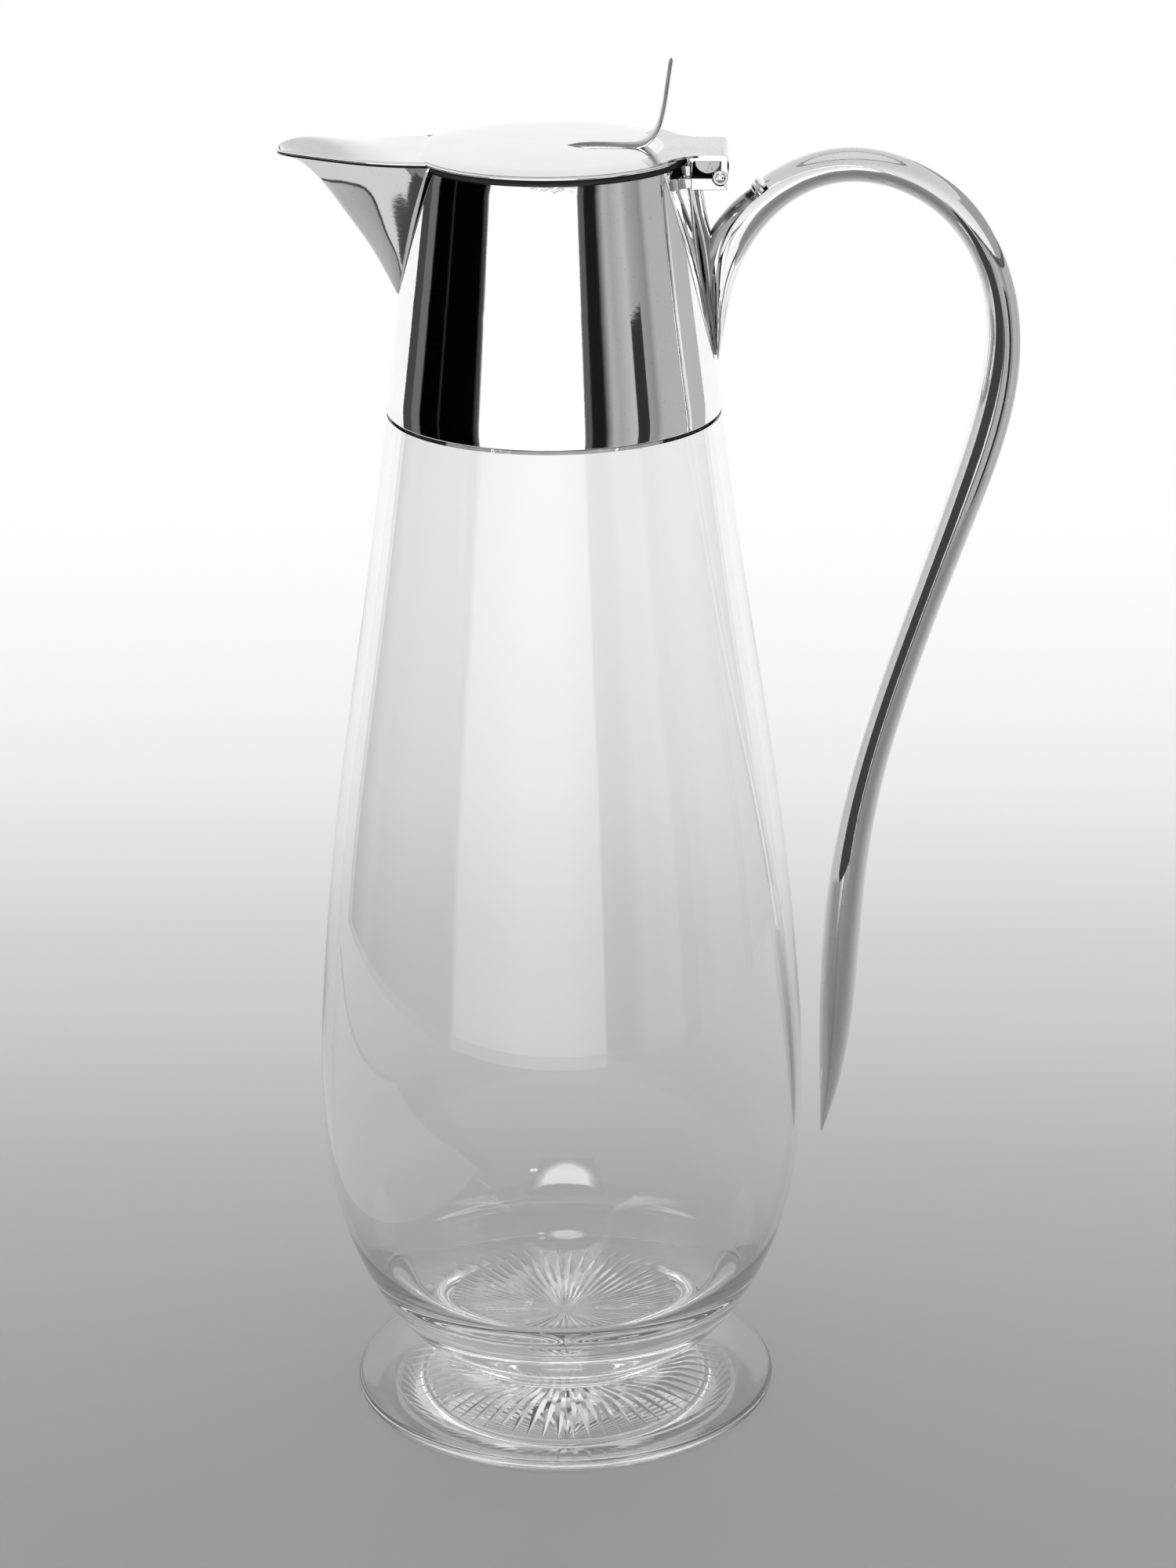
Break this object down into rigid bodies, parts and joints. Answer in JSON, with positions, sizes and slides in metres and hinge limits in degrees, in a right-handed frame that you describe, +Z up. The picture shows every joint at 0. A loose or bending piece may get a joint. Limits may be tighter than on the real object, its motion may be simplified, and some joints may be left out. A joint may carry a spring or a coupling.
{
  "type": "glass claret jug with silver mount",
  "caption": "Tall footed glass jug with a silver-plated collar, V spout, hinged lid with thumb piece and loop handle, for serving water or wine.",
  "frame": {"origin": "centre of the foot's resting plane, on the glass body's axis", "axes": "+Z up along the body's axis, +X towards the handle, -X towards the spout, the lid's hinge pin along Y"},
  "size_m": [0.1646, 0.1134, 0.3203],
  "materials": {
    "glass": "polished clear glass",
    "silver": "polished silver plate with fine wear",
    "plaster": "matt plaster of Paris"
  },
  "bodies": {
    "jug": {"glass_vessel": "glass", "neck_plaster": "plaster", "mouth_liner": "silver", "mount_collar": "silver", "rim_wire": "silver", "pouring_spout": "silver", "hinge_bracket": "silver", "bracket_knuckle": "silver", "hinge_pin": "silver", "hinge_block": "silver", "hinge_strap": "silver", "handle_outer_shell": "silver", "handle_inner_shell": "silver", "handle_notch_cap": "silver", "handle_tongue": "silver"},
    "lid": {"lid_plate": "silver", "lid_bezel": "silver", "lid_hinge_leaf": "silver", "lid_lugs": "silver", "lid_knuckles": "silver", "thumb_piece": "silver"}
  },
  "joints": [
    {"name": "lid_hinge", "type": "hinge", "parent": "jug", "child": "lid", "pos_m": [0.0373, 0, 0.2958], "axis": [0, 1, 0], "range_deg": [0, 95]}
  ]
}
